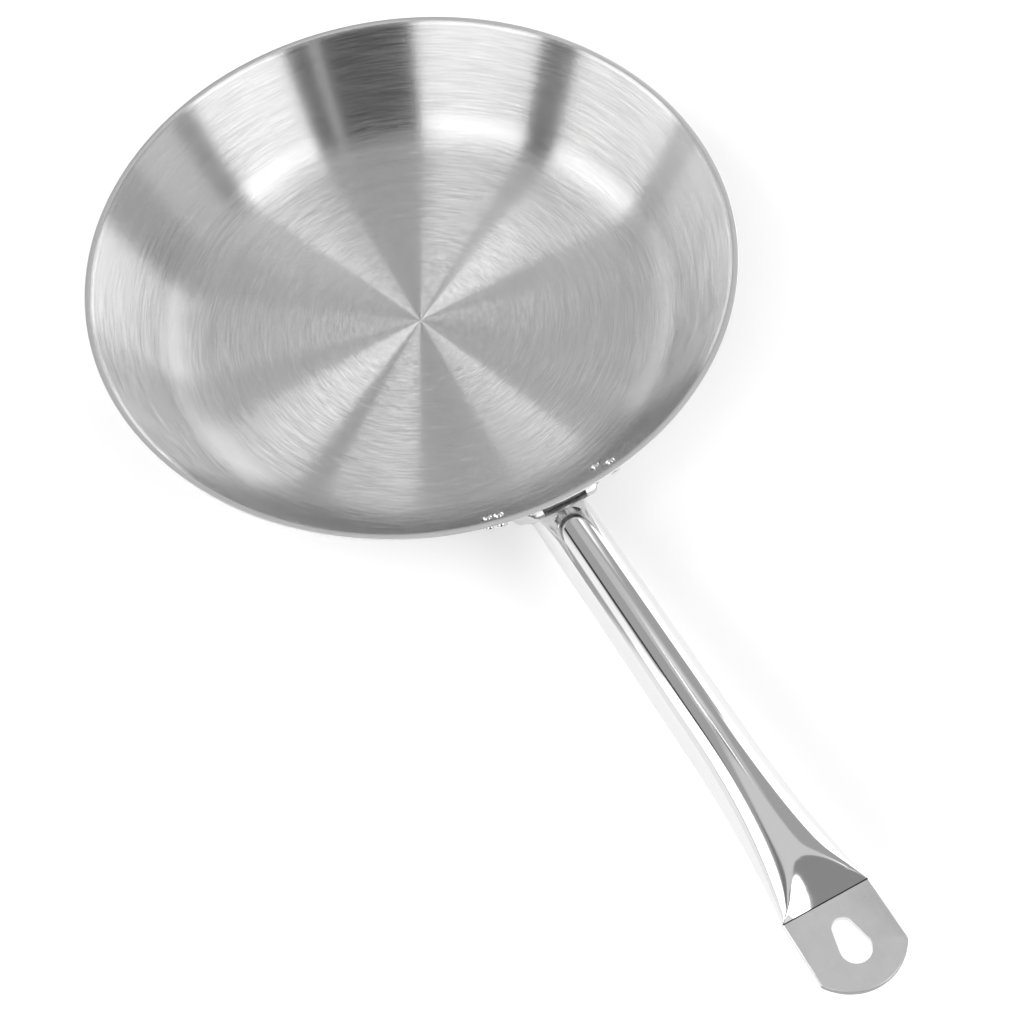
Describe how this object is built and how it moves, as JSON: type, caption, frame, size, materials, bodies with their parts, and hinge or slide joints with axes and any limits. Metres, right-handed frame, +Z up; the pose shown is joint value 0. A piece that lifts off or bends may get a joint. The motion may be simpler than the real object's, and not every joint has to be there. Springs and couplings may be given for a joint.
{
  "type": "frying pan",
  "caption": "Stainless steel frying pan with sloping walls, a sandwich base and a hollow tube handle, flattened and pierced for hanging, riveted on by a pressed bracket.",
  "frame": {"origin": "centre of the underside of the base, where the pan stands on the hob", "axes": "+X along the handle, away from the bowl; +Z up; +Y to the right of a cook who holds the handle"},
  "size_m": [0.4991, 0.28, 0.062],
  "materials": {
    "satin_steel": "circular brushed satin inside and out, with a polished lip",
    "core_aluminium": "mill finish, closed in",
    "base_steel": "fine turned satin",
    "bracket_steel": "tumbled and polished",
    "mirror_steel": "mirror polished tube with a satin pressed tab",
    "weld_steel": "dressed weld",
    "rivet_steel": "polished domes"
  },
  "bodies": {
    "root": {"pan_body": "satin_steel", "heat_disc": "core_aluminium", "base_cap": "base_steel", "handle_bracket": "bracket_steel", "handle_tube": "mirror_steel", "weld_bead": "weld_steel", "upper_left_rivet": "rivet_steel", "lower_left_rivet": "rivet_steel", "upper_right_rivet": "rivet_steel", "lower_right_rivet": "rivet_steel"}
  },
  "joints": []
}
